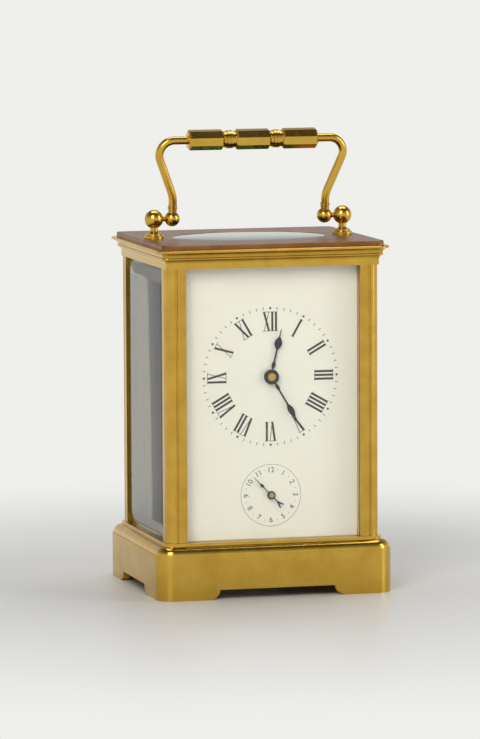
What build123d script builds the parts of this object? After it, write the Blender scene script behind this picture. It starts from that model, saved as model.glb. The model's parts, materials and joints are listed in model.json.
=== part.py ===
import os
from math import acos, atan2, cos, degrees, hypot, pi, radians, sin, sqrt, tan

from build123d import *

os.makedirs("parts", exist_ok=True)

# Sizes are in millimetres. The origin is the middle of the footprint on the shelf, the dial
# faces -Y, +X is to the right of someone who reads the dial, and +Z is up.

# Base: a hollow box with bracket feet, a quarter-round moulding and a flat fillet under the glass
base_width = 93.0
base_depth = 82.0
base_corner = 7.0
base_wall = 3.0
base_wall_height = 17.0
base_ledge = 0.4
base_round = 3.3
base_fillet_height = 1.2
foot_length = 18.85
arch_height = 3.8
arch_corner = 5.0
base_opening_width = 59.0
base_opening_depth = 56.0
base_rebate = 3.5
base_plate_thickness = 2.5

# Pillars, cornice and top
pillar_inset = 4.6
pillar_width = 7.65
pillar_height = 104.3
pillar_bead = 3.6
pillar_groove = 0.35
cornice_overhang = 3.85
cornice_corner = 4.6
cornice_band = 1.6
cornice_cove = 2.0
cornice_bead = 0.9
cornice_upper_cove = 2.0
cornice_rim = 0.9
top_plate_inset = 2.0
top_plate_thickness = 1.8
top_plate_corner = 2.75
top_glass_width = 60.0
top_glass_depth = 42.0
top_glass_rebate = 1.5
top_glass_bevel = 3.0
top_glass_thickness = 3.0

# Bevelled side panes
glass_thickness = 2.0
glass_edge = 1.1
glass_bevel = 6.5
glass_setback = 0.6
glass_seat = 1.3

# Screws
case_screw_radius = 1.25
case_screw_head = 2.4
case_screw_head_height = 1.4
case_screw_bite = 6.0
clock_screw_radius = 0.6
clock_screw_head = 1.5
clock_screw_head_height = 1.0
clock_screw_bite = 3.4

# Carrying handle
post_x = 37.6
post_foot_radius = 3.85
post_foot_height = 2.3
post_neck_radius = 1.45
post_ball_radius = 3.6
post_ball_height = 7.4
post_stud_radius = 1.5
post_stud_length = 7.0
arm_ball_radius = 2.95
arm_ball_gap = 0.65
arm_radius = 1.6
arm_collar_radius = 1.95
arm_straight = 8.6
arm_elbow_x = 39.1
arm_lower_bend = 12.0
arm_upper_bend = 5.7
handle_reach = 31.0
handle_lean = 11.0
pivot_radius = 1.0
grip_length = 51.0
grip_across = 7.4
grip_middle = 13.5
grip_ring_length = 5.0
grip_bore_depth = 4.0

# Rear door
door_thickness = 3.2
door_border = 7.0
door_setback = 0.0
door_glass_lap = 1.5
door_glass_thickness = 1.6
door_pin_radius = 0.75
door_pin_length = 2.6
door_knob_radius = 2.6
door_knob_height = 2.4

# Dial and hands
dial_thickness = 1.2
dial_setback = 5.8
dial_centre_height = 83.6
alarm_centre_height = 38.2
dial_foot_radius = 1.25
dial_foot_x = 22.0
hand_thickness = 0.4
hand_layer = 0.6
minute_hand_length = 24.3
minute_hand_angle = 149.5
hour_hand_length = 18.6
hour_hand_angle = 13.0
alarm_hand_length = 9.6
alarm_hand_tail = 5.9
alarm_hand_angle = -44.0
hub_radius = 2.9
hub_cap_radius = 1.55
alarm_hub_radius = 1.6

# Movement frame
plate_width = 58.0
plate_height = 92.5
plate_thickness = 1.8
motion_work_depth = 4.0
between_plates = 36.6
plate_pillar_radius = 2.5
plate_pillar_x = 26.0
plate_pillar_edge = 5.0
plate_pillar_collar = 4.0
plate_pillar_belt = 3.0
platform_thickness = 1.5
platform_width = 48.0
winding_square = 2.6
winding_reach = 9.0

# Wheels: module is the pitch diameter over the number of teeth
pressure_angle = 25.0
addendum = 0.7
dedendum = 0.88
tooth_fill = 0.44
wheel_thickness = 1.0
pinion_length = 3.0
arbor_radius = 0.6
spoke_count = 5
spoke_width = 1.1
wheel_rim = 1.2
solid_hub = 60.0

motion_distance = 8.4
motion_direction = 30.0
cannon_teeth = 12
minute_wheel_teeth = 36
minute_pinion_teeth = 12
hour_wheel_teeth = 48
alarm_idler_teeth = 115

centre_wheel_teeth = 64
centre_module = 0.4
centre_pinion_teeth = 12
barrel_teeth = 84
barrel_module = 0.45
barrel_x = -9.5
barrel_length = 15.0
barrel_shell = 1.2
third_wheel_teeth = 60
third_module = 0.35
third_pinion_teeth = 8
third_x = 8.0
contrate_pinion_teeth = 8
contrate_teeth = 63
contrate_radius = 7.5
escape_pinion_leaves = 7

alarm_barrel_teeth = 66
alarm_module = 0.35
alarm_barrel_x = 16.0
alarm_barrel_height = 42.0
alarm_pinion_teeth = 8
alarm_pinion_direction = 155.0
alarm_escape_radius = 5.0

ratchet_teeth = 24
ratchet_radius = 6.0

# Platform escapement
escape_radius = 4.2
escape_teeth = 15
escape_height = 1.2
lever_distance = 6.3
balance_distance = 13.35
balance_radius = 8.0
balance_height = 4.2
balance_rim = 0.9
roller_radius = 1.1
hairspring_height = 1.9
hairspring_wire = 0.12
hairspring_turns = 7
hairspring_inner = 1.3
cock_height = 8.0
cock_thickness = 1.4

# Alarm bell and hammer
bell_radius = 24.0
bell_height = 9.5
bell_wall = 1.2
bell_crown_radius = 17.0
bell_floor = 6.5
hammer_x = -15.0
hammer_height = 32.0
hammer_y = 4.0
hammer_rod_radius = 0.7
hammer_head_radius = 2.2
hammer_gap = 1.2

# Clearances
running = 0.05
seat_gap = 0.1
side_gap = 0.3

# Levels and planes that follow from the sizes above
moulding_inset = base_ledge + base_round
base_height = base_wall_height + base_round + base_fillet_height
cornice_base = base_height + pillar_height
cornice_height = cornice_band + cornice_cove + cornice_bead + cornice_upper_cove + cornice_rim
cornice_top = cornice_base + cornice_height
case_top = cornice_top + top_plate_thickness
pillar_x = base_width / 2 - pillar_inset
pillar_y = base_depth / 2 - pillar_inset
opening_x = pillar_x - pillar_width
opening_y = pillar_y - pillar_width
pillar_centre_x = pillar_x - pillar_width / 2
pillar_centre_y = pillar_y - pillar_width / 2
dial_front = -pillar_y + dial_setback
dial_back = dial_front + dial_thickness
front_plate_front = dial_back + motion_work_depth
front_plate_back = front_plate_front + plate_thickness
back_plate_front = front_plate_back + between_plates
back_plate_back = back_plate_front + plate_thickness
plate_top = base_height + plate_height
platform_top = plate_top + platform_thickness
pivot_height = case_top + post_ball_height
arm_ball_x = post_x - post_ball_radius - arm_ball_gap - arm_ball_radius

pillar_corners = [(sx, sy) for sy in (-1, 1) for sx in (-1, 1)]


# Plane that faces the reader of the dial: its x is X, its y is Z, and extruding goes towards -Y
def facing(y, x=0, z=0):
    return Plane(origin=(x, y, z), x_dir=(1, 0, 0), z_dir=(0, -1, 0))


# Write one finished piece under its own name
def save(piece, name):
    piece.label = name
    export_step(piece, f"parts/{name}.step")


# Involute of an angle, in radians
def involute(angle):
    return tan(angle) - angle


# Phase, in degrees, that puts the gaps of a wheel on the teeth of the wheel that drives it
def mesh_phase(phase, teeth, direction, driven_teeth):
    turned = (phase - direction) * teeth / driven_teeth
    return direction + 180 - turned - 180 / driven_teeth


# Flat face of a spur wheel about the origin, with stub involute teeth
def gear_face(teeth, module, phase=0.0):
    pitch_radius = teeth * module / 2
    base_radius = pitch_radius * cos(radians(pressure_angle))
    root_radius = pitch_radius - dedendum * module
    tip_radius = pitch_radius + addendum * module
    half_tooth = tooth_fill * pi / teeth + involute(radians(pressure_angle))
    flank_start = max(base_radius, root_radius)
    flank = [(root_radius, half_tooth)] if root_radius < base_radius else []
    steps = 3
    for step in range(steps + 1):
        radius = flank_start + (tip_radius - flank_start) * step / steps
        flank.append((radius, half_tooth - involute(acos(base_radius / radius))))
    points = []
    for tooth in range(teeth):
        middle = radians(phase) + 2 * pi * tooth / teeth
        rising = [(radius, middle - half) for radius, half in flank]
        falling = [(radius, middle + half) for radius, half in reversed(flank)]
        points += [(radius * cos(angle), radius * sin(angle)) for radius, angle in rising + falling]
    with BuildSketch() as face:
        Polygon(*points, align=None)
    return face.sketch


# Openings between the spokes of a wheel, as one flat face
def spoke_openings(rim_radius, hub, spokes, spoke_width):
    with BuildSketch() as openings:
        Circle(rim_radius)
        Circle(hub, mode=Mode.SUBTRACT)
        with PolarLocations(0, spokes):
            Rectangle(rim_radius * 2, spoke_width, align=(Align.MIN, Align.CENTER), mode=Mode.SUBTRACT)
    return openings.sketch


# Face with pointed or raked teeth, as on a ratchet or an escape wheel
def raked_face(teeth, tip_radius, depth):
    points = []
    for tooth in range(teeth):
        start = 2 * pi * tooth / teeth
        points.append((tip_radius * cos(start), tip_radius * sin(start)))
        inner = start + 0.3 * pi / teeth
        points.append(((tip_radius - depth) * cos(inner), (tip_radius - depth) * sin(inner)))
    with BuildSketch() as face:
        Polygon(*points, align=None)
    return face.sketch


# Strip of moulding swept round a rounded rectangle; its outline is drawn as (outwards, up)
def moulding(width, depth, corner, outline):
    with BuildSketch() as rim:
        RectangleRounded(width, depth, corner)
    path = rim.face().outer_wire()
    tangent = path % 0
    outwards = tangent.cross(Vector(0, 0, 1))
    with BuildPart() as strip:
        with BuildSketch(Plane(origin=path @ 0, x_dir=outwards, z_dir=-tangent)):
            add(outline)
        sweep(path=path)
    return strip.part


# Base
with BuildSketch() as base_outline:
    with BuildLine():
        Polyline((-base_ledge, 0), (base_round, 0))
        quarter = CenterArc((0, 0), base_round, 0, 90)
        Polyline(quarter @ 1, (0, base_round + base_fillet_height), (-base_ledge, base_round + base_fillet_height),
                 (-base_ledge, 0))
    make_face()

with BuildPart() as base_frame:
    with BuildSketch():
        RectangleRounded(base_width, base_depth, base_corner)
        inner_width = base_width - 2 * base_wall
        inner_depth = base_depth - 2 * base_wall
        RectangleRounded(inner_width, inner_depth, base_corner - base_wall, mode=Mode.SUBTRACT)
    extrude(amount=base_wall_height)
    with BuildSketch(Plane.XY.offset(base_wall_height)):
        fillet_width = base_width - 2 * moulding_inset
        fillet_depth = base_depth - 2 * moulding_inset
        RectangleRounded(fillet_width, fillet_depth, base_corner - moulding_inset)
    extrude(amount=base_round + base_fillet_height)
    add(moulding(fillet_width, fillet_depth, base_corner - moulding_inset, base_outline.sketch).moved(
        Location((0, 0, base_wall_height))))
    with BuildSketch(Plane.XY.offset(base_wall_height)):
        Rectangle(base_opening_width, base_opening_depth)
    extrude(amount=base_round + base_fillet_height, mode=Mode.SUBTRACT)
    with BuildSketch(Plane.XY.offset(base_height - base_plate_thickness)):
        Rectangle(base_opening_width + 2 * base_rebate, base_opening_depth + 2 * base_rebate)
    extrude(amount=base_plate_thickness, mode=Mode.SUBTRACT)
    for plane, span, reach in ((Plane.XZ, base_width, base_depth), (Plane.YZ, base_depth, base_width)):
        half = span / 2 - foot_length
        with BuildSketch(plane):
            Rectangle(2 * half, arch_height, align=(Align.CENTER, Align.MIN))
            with Locations((-half, arch_height), (half, arch_height)):
                Ellipse(arch_corner, arch_height, mode=Mode.SUBTRACT)
        extrude(amount=reach, both=True, mode=Mode.SUBTRACT)
    for sx, sy in pillar_corners:
        with Locations((sx * pillar_centre_x, sy * pillar_centre_y, base_wall_height)):
            Cylinder(case_screw_radius + running, base_round + base_fillet_height,
                     align=(Align.CENTER, Align.CENTER, Align.MIN), mode=Mode.SUBTRACT)
    door_axis_x = opening_x - side_gap - door_thickness / 2
    door_axis_y = pillar_y - door_setback - door_thickness / 2
    with Locations((door_axis_x, door_axis_y, base_height)):
        Cylinder(door_pin_radius + running, door_pin_length + seat_gap,
                 align=(Align.CENTER, Align.CENTER, Align.MAX), mode=Mode.SUBTRACT)
save(base_frame.part, "base_frame")

# Plate that closes the base, carries the movement on top and the bell below
hammer_slot_length = 8.0
hammer_slot_width = 3.0
head_x = -(bell_radius + hammer_gap + hammer_head_radius)
head_height = bell_floor + bell_height / 3
rod_fall = hammer_height - head_height
rod_run = hammer_x - head_x
slot_x = hammer_x - rod_run * (hammer_height - base_height + base_plate_thickness / 2) / rod_fall
seat_screw_x = 20.0
plate_middles = (front_plate_front + plate_thickness / 2, back_plate_front + plate_thickness / 2)
with BuildPart() as base_plate:
    with BuildSketch(Plane.XY.offset(base_height - base_plate_thickness)):
        Rectangle(base_opening_width + 2 * base_rebate - 2 * seat_gap,
                  base_opening_depth + 2 * base_rebate - 2 * seat_gap)
        with Locations((slot_x, hammer_y)):
            SlotOverall(hammer_slot_length, hammer_slot_width, mode=Mode.SUBTRACT)
        with Locations(*[(sx * seat_screw_x, y) for sx in (-1, 1) for y in plate_middles]):
            Circle(clock_screw_radius + running, mode=Mode.SUBTRACT)
        Circle(case_screw_radius + running, mode=Mode.SUBTRACT)
    extrude(amount=base_plate_thickness)
save(base_plate.part, "base_plate")

# Case screws: four up through the base and four down through the cornice, into the pillars
with BuildPart() as case_screws:
    for sx, sy in pillar_corners:
        for seat, side in ((base_wall_height, 1), (cornice_top, -1)):
            shank = case_screw_bite + (base_height - base_wall_height if side > 0 else cornice_height)
            head_side = Align.MAX if side > 0 else Align.MIN
            shank_side = Align.MIN if side > 0 else Align.MAX
            sink = 0 if side > 0 else case_screw_head_height
            with Locations((sx * pillar_centre_x, sy * pillar_centre_y, seat - sink)):
                Cylinder(case_screw_head, case_screw_head_height, align=(Align.CENTER, Align.CENTER, head_side))
                Cylinder(case_screw_radius, shank - sink, align=(Align.CENTER, Align.CENTER, shank_side))
            with BuildSketch(Plane.XY.offset(seat - side * case_screw_head_height * (side > 0))):
                with Locations((sx * pillar_centre_x, sy * pillar_centre_y)):
                    Rectangle(2 * case_screw_head, case_screw_head / 4)
            extrude(amount=side * case_screw_head_height / 2, mode=Mode.SUBTRACT)
save(case_screws.part, "case_screws")

# Pillars: a flat beside the glass, a groove and a round bead at the corner
slot_mouth = glass_edge + (glass_thickness - glass_edge) * glass_seat / glass_bevel + 2 * seat_gap
slot_back = glass_setback + glass_thickness + seat_gap
pillar_names = {(-1, -1): "pillar_front_left", (1, -1): "pillar_front_right",
                (-1, 1): "pillar_rear_left", (1, 1): "pillar_rear_right"}
for (sx, sy), pillar_name in pillar_names.items():
    with BuildPart() as pillar:
        with BuildSketch(Plane.XY.offset(base_height)) as section:
            with Locations((sx * pillar_centre_x, sy * pillar_centre_y)):
                Rectangle(pillar_width, pillar_width)
            corner = section.vertices().sort_by_distance((sx * base_width, sy * base_depth, base_height))[0]
            fillet(corner, radius=pillar_bead)
            flat = pillar_width - pillar_bead - pillar_groove
            with Locations((sx * (opening_x + flat), sy * pillar_y), (sx * pillar_x, sy * (opening_y + flat))):
                Circle(pillar_groove, mode=Mode.SUBTRACT)
            with Locations((sx * (pillar_x - slot_back + slot_mouth / 2), sy * (opening_y + glass_seat / 2))):
                Rectangle(slot_mouth, glass_seat + 2 * seat_gap, mode=Mode.SUBTRACT)
            if sy < 0:
                with Locations((sx * (opening_x + glass_seat / 2), sy * (pillar_y - slot_back + slot_mouth / 2))):
                    Rectangle(glass_seat + 2 * seat_gap, slot_mouth, mode=Mode.SUBTRACT)
        extrude(amount=pillar_height)
        for level, side in ((base_height, Align.MIN), (cornice_base, Align.MAX)):
            with Locations((sx * pillar_centre_x, sy * pillar_centre_y, level)):
                Cylinder(case_screw_radius + running, case_screw_bite + seat_gap,
                         align=(Align.CENTER, Align.CENTER, side), mode=Mode.SUBTRACT)
    save(pillar.part, pillar_name)

# Cornice: a flat band, a cove, a bead, a wider cove and the rim
band_top = cornice_band
cove_top = band_top + cornice_cove
bead_top = cove_top + cornice_bead
upper_top = bead_top + cornice_upper_cove
cove_out = 1.15
upper_out = cornice_overhang - cove_out - 0.5 * cornice_bead
with BuildSketch() as cornice_outline:
    with BuildLine():
        Polyline((-1, 0), (0, 0), (0, band_top))
        lower_cove = ThreePointArc((0, band_top), (cove_out * 0.3, band_top + cornice_cove * 0.68),
                                   (cove_out, cove_top))
        bead = ThreePointArc(lower_cove @ 1, (cove_out + 0.5 * cornice_bead, cove_top + cornice_bead / 2),
                             (cove_out, bead_top))
        step = Line(bead @ 1, (cove_out + 0.2 * cornice_bead, bead_top))
        upper_cove = ThreePointArc(step @ 1, (cove_out + upper_out * 0.4, bead_top + cornice_upper_cove * 0.62),
                                   (cornice_overhang - 0.25, upper_top))
        Polyline(upper_cove @ 1, (cornice_overhang, upper_top), (cornice_overhang, cornice_height - 0.25),
                 (cornice_overhang - 0.25, cornice_height), (-1, cornice_height), (-1, 0))
    make_face()

with BuildPart() as cornice_frame:
    with BuildSketch(Plane.XY.offset(cornice_base)):
        RectangleRounded(2 * pillar_x, 2 * pillar_y, cornice_corner - cornice_overhang)
    extrude(amount=cornice_height)
    add(moulding(2 * pillar_x, 2 * pillar_y, cornice_corner - cornice_overhang, cornice_outline.sketch).moved(
        Location((0, 0, cornice_base))))
    with BuildSketch(Plane.XY.offset(cornice_base)):
        RectangleRounded(2 * opening_x, 2 * opening_y, 1)
    extrude(amount=cornice_height, mode=Mode.SUBTRACT)
    for sx, sy in pillar_corners:
        with Locations((sx * pillar_centre_x, sy * pillar_centre_y, cornice_top)):
            Cylinder(case_screw_radius + running, cornice_height,
                     align=(Align.CENTER, Align.CENTER, Align.MAX), mode=Mode.SUBTRACT)
            Cylinder(case_screw_head + seat_gap, case_screw_head_height + running,
                     align=(Align.CENTER, Align.CENTER, Align.MAX), mode=Mode.SUBTRACT)
    with Locations((-post_x, 0, cornice_top), (post_x, 0, cornice_top)):
        Cylinder(post_stud_radius + running, post_stud_length - top_plate_thickness + seat_gap,
                 align=(Align.CENTER, Align.CENTER, Align.MAX), mode=Mode.SUBTRACT)
    with Locations((door_axis_x, door_axis_y, cornice_base)):
        Cylinder(door_pin_radius + running, door_pin_length + seat_gap,
                 align=(Align.CENTER, Align.CENTER, Align.MIN), mode=Mode.SUBTRACT)
save(cornice_frame.part, "cornice_frame")

# Top plate and its oval bevelled glass
rim_x = pillar_x + cornice_overhang
rim_y = pillar_y + cornice_overhang
with BuildPart() as top_plate:
    with BuildSketch(Plane.XY.offset(cornice_top)):
        RectangleRounded(2 * (rim_x - top_plate_inset), 2 * (rim_y - top_plate_inset), top_plate_corner)
        Ellipse(top_glass_width / 2, top_glass_depth / 2, mode=Mode.SUBTRACT)
        with Locations((-post_x, 0), (post_x, 0)):
            Circle(post_stud_radius + running, mode=Mode.SUBTRACT)
    extrude(amount=top_plate_thickness)
    chamfer(top_plate.edges().group_by(Axis.Z)[-1].filter_by(
        lambda edge: edge.center().length > top_glass_width and edge.length > 0.1), length=0.3)
save(top_plate.part, "top_plate")

glass_clear = seat_gap
top_flange_x = top_glass_width / 2 + top_glass_rebate
top_flange_y = top_glass_depth / 2 + top_glass_rebate
with BuildPart() as top_glass:
    with BuildSketch(Plane.XY.offset(cornice_top - glass_edge)):
        Ellipse(top_flange_x, top_flange_y)
    extrude(amount=glass_edge)
    with BuildSketch(Plane.XY.offset(cornice_top)):
        Ellipse(top_glass_width / 2 - glass_clear, top_glass_depth / 2 - glass_clear)
    extrude(amount=top_plate_thickness - glass_clear)
    with BuildSketch(Plane.XY.offset(case_top - glass_clear)):
        Ellipse(top_glass_width / 2 - glass_clear, top_glass_depth / 2 - glass_clear)
    with BuildSketch(Plane.XY.offset(cornice_top - glass_edge + top_glass_thickness)):
        Ellipse(top_glass_width / 2 - top_glass_bevel, top_glass_depth / 2 - top_glass_bevel)
    loft()
save(top_glass.part, "top_glass")


# Flat pane with a wide bevel round its outer face; the plane is the face of the pane that looks out
def bevelled_pane(plane, width, height):
    with BuildPart() as pane:
        with BuildSketch(plane.offset(-glass_thickness)):
            Rectangle(width, height)
        extrude(amount=glass_edge)
        with BuildSketch(plane.offset(glass_edge - glass_thickness)):
            Rectangle(width, height)
        with BuildSketch(plane):
            Rectangle(width - 2 * glass_bevel, height - 2 * glass_bevel)
        loft()
    return pane.part


pane_height = pillar_height - seat_gap
pane_middle = base_height + pane_height / 2
front_span = 2 * (opening_x + glass_seat)
side_span = 2 * (opening_y + glass_seat)
front_pane_plane = Plane(origin=(0, -pillar_y + glass_setback, pane_middle), x_dir=(1, 0, 0), z_dir=(0, -1, 0))
left_pane_plane = Plane(origin=(-pillar_x + glass_setback, 0, pane_middle), x_dir=(0, -1, 0), z_dir=(-1, 0, 0))
right_pane_plane = Plane(origin=(pillar_x - glass_setback, 0, pane_middle), x_dir=(0, 1, 0), z_dir=(1, 0, 0))
save(bevelled_pane(front_pane_plane, front_span, pane_height), "front_glass")
save(bevelled_pane(left_pane_plane, side_span, pane_height), "left_glass")
save(bevelled_pane(right_pane_plane, side_span, pane_height), "right_glass")

# Turned posts that carry the handle, each with a stud down into the cornice
for side, post_name in ((-1, "handle_post_left"), (1, "handle_post_right")):
    with BuildPart() as post:
        with BuildSketch(facing(0, side * post_x, case_top)):
            with BuildLine():
                Polyline((0, 0), (post_foot_radius, 0), (post_foot_radius, post_foot_height * 0.45),
                         (post_foot_radius * 0.8, post_foot_height * 0.55),
                         (post_foot_radius * 0.8, post_foot_height * 0.8),
                         (post_neck_radius * 1.25, post_foot_height),
                         (post_neck_radius, post_foot_height + 0.5),
                         (post_neck_radius, post_ball_height), (0, post_ball_height), (0, 0))
            make_face()
        revolve(axis=Axis((side * post_x, 0, 0), (0, 0, 1)))
        with Locations((side * post_x, 0, pivot_height)):
            Sphere(post_ball_radius)
        with Locations((side * post_x, 0, case_top)):
            Cylinder(post_stud_radius, post_stud_length, align=(Align.CENTER, Align.CENTER, Align.MAX))
        with BuildSketch(Plane.YZ.offset(side * post_x)):
            with Locations((0, pivot_height)):
                Circle(pivot_radius)
        extrude(amount=-side * post_ball_radius, mode=Mode.SUBTRACT)
    save(post.part, post_name)

# Pivot pins between the posts and the balls of the arms
with BuildPart() as handle_pivots:
    for side in (-1, 1):
        with BuildSketch(Plane.YZ.offset(side * post_x)):
            with Locations((0, pivot_height)):
                Circle(pivot_radius)
        extrude(amount=-side * (post_x - arm_ball_x + arm_ball_radius / 2))
save(handle_pivots.part, "handle_pivots")

# Handle: its own plane leans towards the reader, with the pivots on its x axis
lean = radians(handle_lean)
handle_plane = Plane(origin=(0, 0, pivot_height), x_dir=(1, 0, 0), z_dir=(0, -cos(lean), -sin(lean)))
grip_end = grip_length / 2
for side, arm_name in ((-1, "handle_arm_left"), (1, "handle_arm_right")):
    with BuildPart() as arm:
        with BuildLine(handle_plane) as arm_line:
            FilletPolyline((side * arm_ball_x, 0), (side * arm_ball_x, arm_straight),
                           (side * arm_elbow_x, handle_reach), (side * (grip_end - grip_bore_depth), handle_reach),
                           radius=[arm_lower_bend, arm_upper_bend])
        with BuildSketch(Plane(origin=arm_line.wire() @ 0, z_dir=arm_line.wire() % 0)):
            Circle(arm_radius)
        sweep()
        with BuildSketch(handle_plane):
            with Locations((side * arm_ball_x, 0)):
                Circle(arm_ball_radius)
                Rectangle(2 * arm_ball_radius, 2 * arm_ball_radius, align=(Align.MAX, Align.CENTER),
                          mode=Mode.SUBTRACT)
            for height, radius in ((3.3, 1.75), (4.3, arm_collar_radius), (5.1, 1.75)):
                with Locations((side * arm_ball_x, height)):
                    Ellipse(radius, 0.45)
                    Rectangle(2 * radius, 2, align=(Align.MAX, Align.CENTER), mode=Mode.SUBTRACT)
        ball_axis = Axis(handle_plane.from_local_coords(Vector(side * arm_ball_x, 0, 0)), handle_plane.y_dir)
        revolve(axis=ball_axis)
        with BuildSketch(handle_plane):
            with Locations((side * grip_end, handle_reach)):
                RegularPolygon(arm_collar_radius, 4, rotation=45)
                Rectangle(2 * arm_collar_radius, 2 * arm_collar_radius, align=(Align.CENTER, Align.MAX),
                          mode=Mode.SUBTRACT)
                inward = Align.MAX if side > 0 else Align.MIN
                Rectangle(grip_across, grip_across, align=(inward, Align.CENTER), mode=Mode.SUBTRACT)
        grip_axis = Axis(handle_plane.from_local_coords(Vector(0, handle_reach, 0)), (1, 0, 0))
        revolve(axis=grip_axis)
        with BuildSketch(Plane.YZ.offset(side * arm_ball_x)):
            with Locations((0, pivot_height)):
                Circle(pivot_radius + running)
        extrude(amount=side * arm_ball_radius, mode=Mode.SUBTRACT)
        with BuildSketch(Plane.YZ.offset(side * arm_ball_x)):
            with Locations((0, pivot_height)):
                Circle(pivot_radius + running)
        extrude(amount=-side * (arm_ball_radius / 2 + seat_gap), mode=Mode.SUBTRACT)
    save(arm.part, arm_name)

# Grip: three eight-sided lengths with turned rings between them
facet_length = (grip_length - grip_middle - 2 * grip_ring_length) / 2
ring_start = grip_middle / 2
grip_origin = handle_plane.from_local_coords(Vector(0, handle_reach, 0))
with BuildPart() as handle_grip:
    grip_spans = ((-grip_end, facet_length), (-ring_start, grip_middle), (grip_end - facet_length, facet_length))
    for start_x, length in grip_spans:
        with BuildSketch(Plane(origin=grip_origin + Vector(start_x, 0, 0), x_dir=handle_plane.y_dir,
                               z_dir=(1, 0, 0))):
            RegularPolygon(grip_across / 2, 8, major_radius=False, rotation=22.5)
        extrude(amount=length)
        chamfer(handle_grip.edges().filter_by(
            lambda edge: abs(edge.center().X - start_x) < 1e-3 or abs(edge.center().X - start_x - length) < 1e-3),
            length=0.6)
    with BuildSketch(Plane(origin=grip_origin, x_dir=(1, 0, 0), z_dir=handle_plane.z_dir)):
        for side in (-1, 1):
            middle = side * (ring_start + grip_ring_length / 2)
            with Locations((middle, 0)):
                Rectangle(grip_ring_length + 1, 0.36 * grip_across, align=(Align.CENTER, Align.MIN))
            for shift, reach, width in ((-1.75, 0.42, 0.9), (-0.6, 0.47, 1.1), (0.6, 0.47, 1.1), (1.75, 0.42, 0.9)):
                with Locations((middle + shift, 0)):
                    Rectangle(width, reach * grip_across, align=(Align.CENTER, Align.MIN))
    revolve(axis=Axis(grip_origin, (1, 0, 0)))
    for side in (-1, 1):
        with BuildSketch(Plane(origin=grip_origin + Vector(side * grip_end, 0, 0), x_dir=handle_plane.y_dir,
                               z_dir=(side, 0, 0))):
            Circle(arm_radius)
        extrude(amount=-grip_bore_depth, mode=Mode.SUBTRACT)
save(handle_grip.part, "handle_grip")

# Rear door: a frame round a plain pane, hung on two pins beside the right-hand rear pillar
door_half = opening_x - side_gap
door_low = base_height + side_gap
door_high = cornice_base - side_gap
door_back = door_axis_y + door_thickness / 2
door_middle = (door_low + door_high) / 2
pane_x = door_half - door_border
pane_z = (door_high - door_low) / 2 - door_border
with BuildPart() as door_frame:
    with BuildSketch(facing(door_back)):
        with Locations((0, door_middle)):
            Rectangle(2 * door_half, door_high - door_low)
            Rectangle(2 * pane_x, 2 * pane_z, mode=Mode.SUBTRACT)
    extrude(amount=door_thickness)
    hinge_edges = door_frame.edges().filter_by(Axis.Z).group_by(Axis.X)[-1]
    fillet(hinge_edges, radius=door_thickness / 2 - 0.01)
    with BuildSketch(facing(door_back - door_thickness + door_glass_thickness)):
        with Locations((0, door_middle)):
            Rectangle(2 * (pane_x + door_glass_lap), 2 * (pane_z + door_glass_lap))
    extrude(amount=door_glass_thickness, mode=Mode.SUBTRACT)
    for level, align in ((door_low, Align.MIN), (door_high, Align.MAX)):
        with Locations((door_axis_x, door_axis_y, level)):
            Cylinder(door_pin_radius, 3 * door_pin_length, align=(Align.CENTER, Align.CENTER, align),
                     mode=Mode.SUBTRACT)
save(door_frame.part, "door_frame")

with BuildPart() as door_glass:
    with BuildSketch(facing(door_back - door_thickness + door_glass_thickness)):
        with Locations((0, door_middle)):
            Rectangle(2 * (pane_x + door_glass_lap - seat_gap), 2 * (pane_z + door_glass_lap - seat_gap))
    extrude(amount=door_glass_thickness)
save(door_glass.part, "door_glass")

knob_x = -door_half + door_border / 2
with BuildPart() as door_knob:
    with BuildSketch(Plane(origin=(knob_x, door_back, door_middle), x_dir=(1, 0, 0), z_dir=(0, 1, 0))):
        Circle(door_knob_radius * 0.5)
    extrude(amount=door_knob_height / 2)
    with BuildSketch(Plane(origin=(knob_x, door_back + door_knob_height / 2, door_middle), x_dir=(1, 0, 0),
                           z_dir=(0, 1, 0))):
        Circle(door_knob_radius)
    extrude(amount=door_knob_height / 2)
    fillet(door_knob.edges().group_by(Axis.Y)[-1], radius=door_knob_height / 4)
save(door_knob.part, "door_knob")

with BuildPart() as door_pins:
    for level, align in ((base_height - door_pin_length, Align.MIN), (cornice_base + door_pin_length, Align.MAX)):
        with Locations((door_axis_x, door_axis_y, level)):
            Cylinder(door_pin_radius, 3 * door_pin_length, align=(Align.CENTER, Align.CENTER, align))
save(door_pins.part, "door_pins")

# Enamelled dial with four feet that stand on the front plate
cannon_bore = arbor_radius + running
cannon_outer = cannon_bore + 0.4
hour_bore = cannon_outer + running
hour_outer = hour_bore + 0.45
dial_hole = hour_outer + side_gap
alarm_arbor_radius = 0.8
with BuildPart() as dial_plate:
    with BuildSketch(facing(dial_back)):
        with Locations((0, (base_height + cornice_base) / 2)):
            Rectangle(2 * (opening_x - seat_gap), pillar_height - 2 * seat_gap)
        with Locations((0, dial_centre_height)):
            Circle(dial_hole, mode=Mode.SUBTRACT)
        with Locations((0, alarm_centre_height)):
            Circle(alarm_arbor_radius + side_gap, mode=Mode.SUBTRACT)
    extrude(amount=dial_thickness)
    with BuildSketch(facing(front_plate_front)):
        with GridLocations(2 * dial_foot_x, plate_height - 4 * plate_pillar_edge, 2, 2):
            with Locations((0, base_height + plate_height / 2)):
                Circle(dial_foot_radius)
    extrude(amount=motion_work_depth)
save(dial_plate.part, "dial_plate")

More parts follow.
